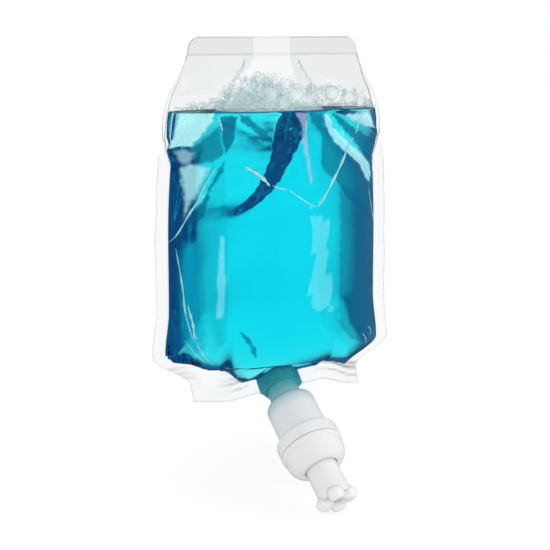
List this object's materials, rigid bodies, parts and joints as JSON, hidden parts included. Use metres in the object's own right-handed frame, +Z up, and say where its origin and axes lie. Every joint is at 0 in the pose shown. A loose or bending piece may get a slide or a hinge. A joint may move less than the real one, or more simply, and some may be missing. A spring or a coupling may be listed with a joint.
{
  "type": "hand soap refill pack",
  "caption": "Clear film bag of blue-green liquid hand soap with a foam head and a foam pump in its bottom seam, made to be clipped into a wall dispenser.",
  "frame": {"origin": "middle of the bottom seam's edge, where the neck leaves the bag", "axes": "+Z up the bag, -Y out of its front, +X to the right seen from the front"},
  "size_m": [0.162, 0.1286, 0.2801],
  "materials": {
    "film": "thin clear laminate film, glossy and softly creased",
    "soap": "clear blue-green liquid",
    "foam": "wet froth of clear bubbles",
    "milky_plastic": "translucent natural plastic, satin",
    "white_plastic": "white moulded plastic, satin gloss",
    "soft_seal": "pale soft silicone",
    "spring_steel": "bright drawn stainless wire",
    "screen_mesh": "fine woven plastic mesh"
  },
  "bodies": {
    "pack": {"front_film": "film", "back_film": "film", "liquid_soap": "soap", "foam_head": "foam", "spout_fitment": "milky_plastic", "neck_gasket": "soft_seal", "collar": "milky_plastic", "pump_housing": "milky_plastic", "inlet_valve": "soft_seal", "air_cylinder": "white_plastic", "dome_shell": "white_plastic", "return_spring": "spring_steel"},
    "plunger": {"liquid_piston": "milky_plastic", "outlet_valve": "spring_steel", "air_piston": "white_plastic", "air_valve": "soft_seal", "nozzle": "white_plastic", "screen_holder": "white_plastic", "coarse_screen": "screen_mesh", "fine_screen": "screen_mesh"}
  },
  "joints": [
    {"name": "nozzle_slide", "type": "slide", "parent": "pack", "child": "plunger", "axis": [-0.1132, 0.8139, 0.5699], "range_m": [0, 0.011], "stiffness_N_per_m": 600, "springref_m": -0.006, "deforming": ["return_spring"]}
  ]
}
